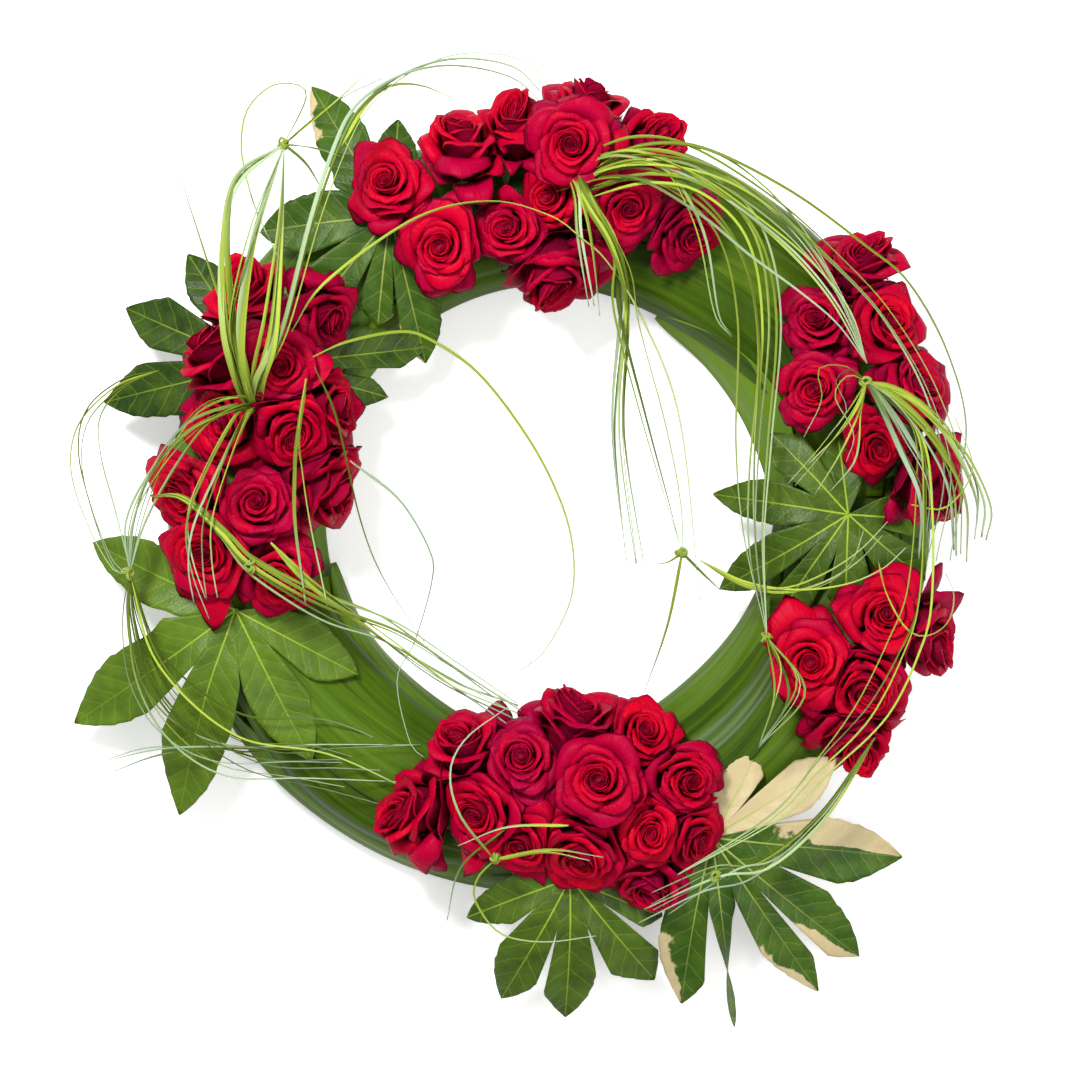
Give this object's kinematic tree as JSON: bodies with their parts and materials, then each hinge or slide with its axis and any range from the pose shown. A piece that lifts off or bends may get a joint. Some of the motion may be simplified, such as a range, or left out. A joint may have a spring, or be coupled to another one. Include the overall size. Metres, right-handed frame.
{
  "type": "memorial wreath",
  "caption": "Round memorial wreath of red roses in clustered sprays, hand-shaped and strap leaves and bear grass on a soaked foam ring in a tray, lying on its flat back.",
  "frame": {"origin": "middle of the whole wreath's footprint, on the surface that it lies on", "axes": "+Z out of the wreath's face, +Y towards its top, +X to its right seen from the face"},
  "size_m": [0.7072, 0.752, 0.1807],
  "materials": {
    "rose_petal": "satin",
    "glossy_leaf": "satin",
    "variegated_leaf": "satin",
    "strap_leaf": "satin",
    "grass_blade": "satin",
    "floral_foam": "matte",
    "tray_plastic": "matte"
  },
  "bodies": {
    "root": {"base_tray": "tray_plastic", "bear_grass_left": "grass_blade", "bear_grass_right": "grass_blade", "foam_ring": "floral_foam", "leaf_bottom": "glossy_leaf", "leaf_left": "glossy_leaf", "leaf_lower_left": "glossy_leaf", "leaf_right": "glossy_leaf", "rose_bottom_01": "rose_petal", "rose_bottom_02": "rose_petal", "rose_bottom_03": "rose_petal", "rose_bottom_04": "rose_petal", "rose_bottom_05": "rose_petal", "rose_bottom_06": "rose_petal", "rose_bottom_07": "rose_petal", "rose_bottom_08": "rose_petal", "rose_bottom_09": "rose_petal", "rose_bottom_10": "rose_petal", "rose_bottom_11": "rose_petal", "rose_bottom_12": "rose_petal", "rose_bottom_13": "rose_petal", "rose_left_01": "rose_petal", "rose_left_02": "rose_petal", "rose_left_03": "rose_petal", "rose_left_04": "rose_petal", "rose_left_05": "rose_petal", "rose_left_06": "rose_petal", "rose_left_07": "rose_petal", "rose_left_08": "rose_petal", "rose_left_09": "rose_petal", "rose_left_10": "rose_petal", "rose_left_11": "rose_petal", "rose_left_12": "rose_petal", "rose_right_01": "rose_petal", "rose_right_02": "rose_petal", "rose_right_03": "rose_petal", "rose_right_04": "rose_petal", "rose_right_05": "rose_petal", "rose_right_06": "rose_petal", "rose_right_07": "rose_petal", "rose_side_01": "rose_petal", "rose_side_02": "rose_petal", "rose_side_03": "rose_petal", "rose_side_04": "rose_petal", "rose_side_05": "rose_petal", "rose_top_01": "rose_petal", "rose_top_02": "rose_petal", "rose_top_03": "rose_petal", "rose_top_04": "rose_petal", "rose_top_05": "rose_petal", "rose_top_06": "rose_petal", "rose_top_07": "rose_petal", "rose_top_08": "rose_petal", "rose_top_09": "rose_petal", "rose_top_10": "rose_petal", "rose_top_11": "rose_petal", "rose_top_12": "rose_petal", "strap_leaf_wrap": "strap_leaf", "variegated_leaf_bottom": "variegated_leaf", "variegated_leaf_top": "variegated_leaf"}
  },
  "joints": []
}
